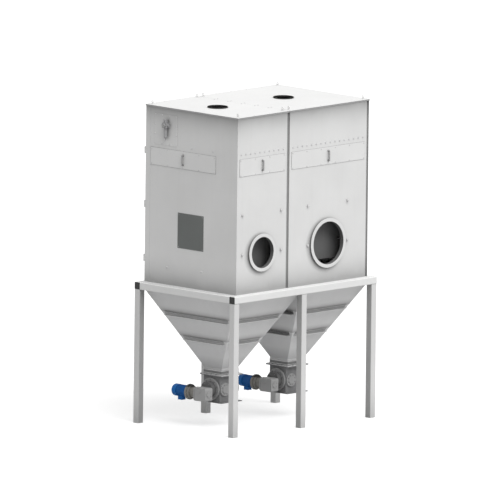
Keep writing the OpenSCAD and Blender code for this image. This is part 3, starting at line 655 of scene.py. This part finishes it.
bm = bmesh.new()
lo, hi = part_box("door_hinges")
back_y = hi.y
for side in (-1, 1):
    for z in spaced(lo.z + 0.045, hi.z - 0.045, 3):
        for x in (1.235, 1.205):
            for dz in (-0.022, 0.022):
                add_screw(bm, (side * x, 0.905, z + dz), (0, 1, 0), 0.010, 0.004)
        add_screw(bm, (side * 1.286, 0.895, z + 0.045), (0, 0, 1), 0.016, 0.004)
finish_piece("hinge_screws", bm, "steel")

# %% [markdown]
# ## Valve and gearmotor details
# The square flanges are bolted together, the end covers and the gear housing have ring bolts, and
# the motor gets a terminal box lid, cable gland and a fan cowl whose slots are black strips of
# painted shade. Positions repeat with the distance between the two outlets.

# %% Valve and gearmotor pieces
cas_a, cas_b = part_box("valve_casing_a"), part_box("valve_casing_b")
CX = [(c[0].x + c[1].x) / 2 for c in (cas_a, cas_b)]
valve_hi = cas_a[1].z
gear_lo, gear_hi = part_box("gearbox_a")
motor_lo, motor_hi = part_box("motor_a")
GEAR_X = gear_lo.x - CX[0]
MOTOR_X = (motor_lo.x + motor_hi.x) / 2 - CX[0]


def circle_of(count, r, start=0.0):
    return [(r * math.cos(t), r * math.sin(t)) for t in [(k + start) * math.tau / count for k in range(count)]]


flange_bolts, cover_bolts, gear_bolts = bmesh.new(), bmesh.new(), bmesh.new()
for cx in CX:
    mx = cx + MOTOR_X
    for s in (-1, 1):
        for t in (-0.09, 0, 0.09):
            for x, y in ((cx + s * 0.196, t), (cx + t, s * 0.196)):
                add_bolt(flange_bolts, (x, y, valve_hi + 0.010), (0, 0, 1), 0.017)
                add_bolt(flange_bolts, (x, y, valve_hi - 0.010), (0, 0, -1), 0.017)
    for u, v in circle_of(10, 0.130, 0.5):
        add_bolt(cover_bolts, (cx - 0.215, u, ROTOR_Z + v), (-1, 0, 0), 0.015)
        add_bolt(cover_bolts, (cx + 0.201, u, ROTOR_Z + v), (1, 0, 0), 0.015)
    for u, v in circle_of(8, 0.068, 0.5):
        add_bolt(cover_bolts, (cx - 0.092 + u, -0.176, ROTOR_Z + v), (0, -1, 0), 0.011, 0.005)
    for u, v in circle_of(6, 0.092):
        add_bolt(cover_bolts, (cx - 0.290, u, ROTOR_Z + v), (-1, 0, 0), 0.012, 0.005)
    for y in (gear_lo.y + 0.030, 0.076):
        for z in (0.397, 0.537):
            add_screw(gear_bolts, (cx - 0.442, y, z), (-1, 0, 0), 0.012, 0.004)
    for u, v in circle_of(4, 0.034, 0.5):
        add_bolt(gear_bolts, (mx + u, gear_lo.y, MOTOR_Z + v), (0, -1, 0), 0.010, 0.004)
    for u, v in circle_of(4, 0.0985, 0.5):
        add_bolt(gear_bolts, (mx + u, motor_lo.y - 0.026, MOTOR_Z + v), (0, -1, 0), 0.010, 0.004)
finish_piece("flange_bolts", flange_bolts, "valve")
finish_piece("cover_bolts", cover_bolts, "valve")
finish_piece("gear_bolts", gear_bolts, "gear")

lids, screws, black = bmesh.new(), bmesh.new(), bmesh.new()
for cx in CX:
    mx, y0, z0 = cx + MOTOR_X, motor_lo.y + 0.106, motor_lo.z
    add_box(lids, (mx - 0.038, y0 - 0.003, z0 - 0.009), (mx + 0.038, y0 + 0.081, z0 + 0.001), 0.003)
    for x in (mx - 0.030, mx + 0.030):
        for y in (y0 + 0.006, y0 + 0.072):
            add_screw(screws, (x, y, z0 - 0.009), (0, 0, -1), 0.008, 0.003)
    bmesh.ops.create_cone(black, cap_ends=True, segments=24, radius1=0.012, radius2=0.010, depth=0.026,
                          matrix=facing((mx, y0 + 0.090, z0 + 0.017), (0, 1, 0)))
    # The fan cowl slots are black strips of painted shade.
    for k in range(5):
        dx = (k - 2) * 0.020
        half = math.sqrt(0.048 ** 2 - dx ** 2)
        add_box(black, (mx + dx - 0.003, motor_hi.y - 0.001, MOTOR_Z - half),
                (mx + dx + 0.003, motor_hi.y + 0.0006, MOTOR_Z + half))
finish_piece("terminal_lids", lids, "motor")
finish_piece("terminal_screws", screws, "steel")
finish_piece("glands_and_shaded_cowl_slots", black, "cap")

# %% [markdown]
# ## Sleeves and rings
# A rubber sleeve with two clamp bands keeps the dust in where the hopper neck meets the valve.
# The end cover on the gear side carries a bright ring, and the roof holes a black edge trim that paints the shade
# inside each hole.

# %% Neck sleeves, clamp bands, cover rings, edge trim
def square_loop(bm, cx, half, z0, z1, t, soft=0.002):
    for a, b in (((-half - t, -half - t), (half + t, -half)), ((-half - t, half), (half + t, half + t)),
                 ((-half - t, -half), (-half, half)), ((half, -half), (half + t, half))):
        add_box(bm, (cx + a[0], a[1], z0), (cx + b[0], b[1], z1), soft)


def ring_along(bm, at, axis, r_out, r_in, depth, segments=72):
    """A turned ring with softened edges: its section is spun around the axis."""
    soft = min(0.002, depth / 4)
    section = [(r_in, 0), (r_out - soft, 0), (r_out, soft), (r_out, depth - soft),
               (r_out - soft, depth), (r_in, depth)]
    m = facing(at, axis)
    verts = [bm.verts.new(m @ Vector((r, 0, z))) for r, z in section]
    edges = [bm.edges.new((verts[i], verts[(i + 1) % 6])) for i in range(6)]
    bmesh.ops.spin(bm, geom=verts + edges, cent=Vector(at), axis=Vector(axis), dvec=(0, 0, 0),
                   angle=math.tau, steps=segments, use_merge=True)


sleeves, bands, rings = bmesh.new(), bmesh.new(), bmesh.new()
neck_half = 0.167
for cx in CX:
    square_loop(sleeves, cx, neck_half + 0.0004, valve_hi + 0.012, valve_hi + 0.072, 0.004)
    for z in (valve_hi + 0.016, valve_hi + 0.060):
        square_loop(bands, cx, neck_half + 0.0046, z, z + 0.010, 0.0015, 0.0005)
    ring_along(rings, (cx - 0.2145, 0, ROTOR_Z), (1, 0, 0), 0.1560, 0.1505, 0.014)
finish_piece("neck_sleeves", sleeves, "sleeve")
finish_piece("sleeve_bands", bands, "steel")
finish_piece("cover_rings", rings, "ring")

bm = bmesh.new()
# Painted shade: a black ring lines each roof hole, where the inside of the chamber lies in shade.
for lo, hi, x in ((a_lo, a_hi, -0.809), (b_lo, b_hi, 0.495)):
    ring_along(bm, (x, -0.014, lo.z - 0.003), (0, 0, 1), 0.1425, 0.1365, 0.022, 96)
finish_piece("roof_hole_trim", bm, "trim")

# %% [markdown]
# ## Weld seams
# Beads follow the four slanted corners of each hopper and the joint of legs and beams. They have
# slow ripples like a hand-laid weld and share the paint under them. On the outer faces of the
# frame, where leg and beam are flush, the weld is ground flat and there is no bead.

# %% Weld beads
bm = bmesh.new()
for name, cx in (("hopper_a", CX[0]), ("hopper_b", CX[1])):
    lo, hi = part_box(name)
    hx, hy = (hi.x - lo.x - 0.035) / 2, hi.y - 0.035
    for sx in (-1, 1):
        for sy in (-1, 1):
            top = (cx + sx * (hx - 0.002), sy * (hy - 0.002), 1.86)
            low = (cx + sx * 0.1655, sy * 0.1655, 0.818)
            add_bead(bm, low, top, 0.0045, 6, 0.12)
            add_bead(bm, (cx + sx * 0.1655, sy * 0.1655, 0.728), low, 0.004)
finish_piece("hopper_welds", bm, "hopper")
bm = bmesh.new()
llo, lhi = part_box("legs")
beam_under = lhi.z
for x in (llo.x + 0.05, -0.02, lhi.x - 0.05):
    for y in (llo.y + 0.05, lhi.y - 0.05):
        for s in (-1, 1):
            inside = s * y < 0
            ends = [((x - 0.04, y + s * 0.05, beam_under), (x + 0.04, y + s * 0.05, beam_under))] if inside else []
            if abs(x) < 1:
                ends.append(((x + s * 0.05, y - 0.04, beam_under), (x + s * 0.05, y + 0.04, beam_under)))
            for p, q in ends:
                add_bead(bm, p, q, 0.003, 6, 0.15)
finish_piece("frame_welds", bm, "frame")

# %% [markdown]
# ## Camera, floor and light
# The photograph has parallel lines, so the camera is orthographic: azimuth -46.2, elevation 8.8
# degrees and a slight roll. The floor is pale enough to end in the white background, the sun
# stands high on the front right, and an even sky fills the shadows.

# %% Camera
az, el, roll = math.radians(-46.184), math.radians(8.783), math.radians(0.657)
back = Vector((math.sin(az) * math.cos(el), -math.cos(az) * math.cos(el), math.sin(el)))
right = Vector((math.cos(az), math.sin(az), 0))
up = back.cross(right)
r2 = right * math.cos(roll) + up * math.sin(roll)
u2 = up * math.cos(roll) - right * math.sin(roll)
target = Vector((-0.12007, 0.12514, 2.4538))
cam = bpy.data.cameras.new("photo_camera")
cam.type = "ORTHO"
cam.ortho_scale = 487 * 0.0137528
cam.clip_end = 400
camera = bpy.data.objects.new("photo_camera", cam)
spot = target + back * 20
camera.matrix_world = Matrix(((r2.x, u2.x, back.x, spot.x), (r2.y, u2.y, back.y, spot.y),
                              (r2.z, u2.z, back.z, spot.z), (0, 0, 0, 1)))
bpy.context.collection.objects.link(camera)
bpy.context.scene.camera = camera
print("camera at", [round(c, 2) for c in spot])

# %% Floor, sky and sun
def shown_rays(ns, ln):
    """1 for camera rays, and for glossy and transmission rays, so that metal shows the background."""
    path = ns.new("ShaderNodeLightPath")
    seen = calc(ns, ln, "ADD", path.outputs["Is Camera Ray"], path.outputs["Is Glossy Ray"], True)
    return calc(ns, ln, "ADD", seen, path.outputs["Is Transmission Ray"], True)


scene = bpy.context.scene
scene.view_settings.view_transform = "Standard"
bm = bmesh.new()
bmesh.ops.create_grid(bm, x_segments=1, y_segments=1, size=120)
mesh = bpy.data.meshes.new("floor")
bm.to_mesh(mesh)
bm.free()
floor = bpy.data.objects.new("floor", mesh)
bpy.context.collection.objects.link(floor)
m = bpy.data.materials.new("Studio floor")
m.use_nodes = True
ns, ln = m.node_tree.nodes, m.node_tree.links
pale = ns["Principled BSDF"]
pale.inputs["Base Color"].default_value = (0.60, 0.60, 0.60, 1)
pale.inputs["Roughness"].default_value = 0.9
pale.inputs["Specular IOR Level"].default_value = 0.0
pale.inputs["Emission Color"].default_value = (1, 1, 1, 1)
pale.inputs["Emission Strength"].default_value = 0.62
dim = ns.new("ShaderNodeBsdfDiffuse")
dim.inputs["Color"].default_value = (0.45, 0.45, 0.45, 1)
either = ns.new("ShaderNodeMixShader")
ln.new(shown_rays(ns, ln), either.inputs[0])
ln.new(dim.outputs[0], either.inputs[1])
ln.new(pale.outputs[0], either.inputs[2])
ln.new(either.outputs[0], ns["Material Output"].inputs["Surface"])
mesh.materials.append(m)

world = bpy.data.worlds.new("studio_sky")
scene.world = world
world.use_nodes = True
ns, ln = world.node_tree.nodes, world.node_tree.links
sky = ns["Background"]
sky.inputs["Color"].default_value = (1, 1, 1, 1)
sky.inputs["Strength"].default_value = 0.41
seen = ns.new("ShaderNodeBackground")
seen.inputs["Color"].default_value = (1, 1, 1, 1)
seen.inputs["Strength"].default_value = 1.0
blend = ns.new("ShaderNodeMixShader")
ln.new(shown_rays(ns, ln), blend.inputs[0])
ln.new(sky.outputs[0], blend.inputs[1])
ln.new(seen.outputs[0], blend.inputs[2])
ln.new(blend.outputs[0], ns["World Output"].inputs["Surface"])

sun_data = bpy.data.lights.new("soft_sun", "SUN")
sun_data.energy = 2.3
sun_data.angle = math.radians(50)
sun = bpy.data.objects.new("soft_sun", sun_data)
sun.matrix_world = facing((0, 0, 8), (-0.06, -0.53, 0.82))
bpy.context.collection.objects.link(sun)
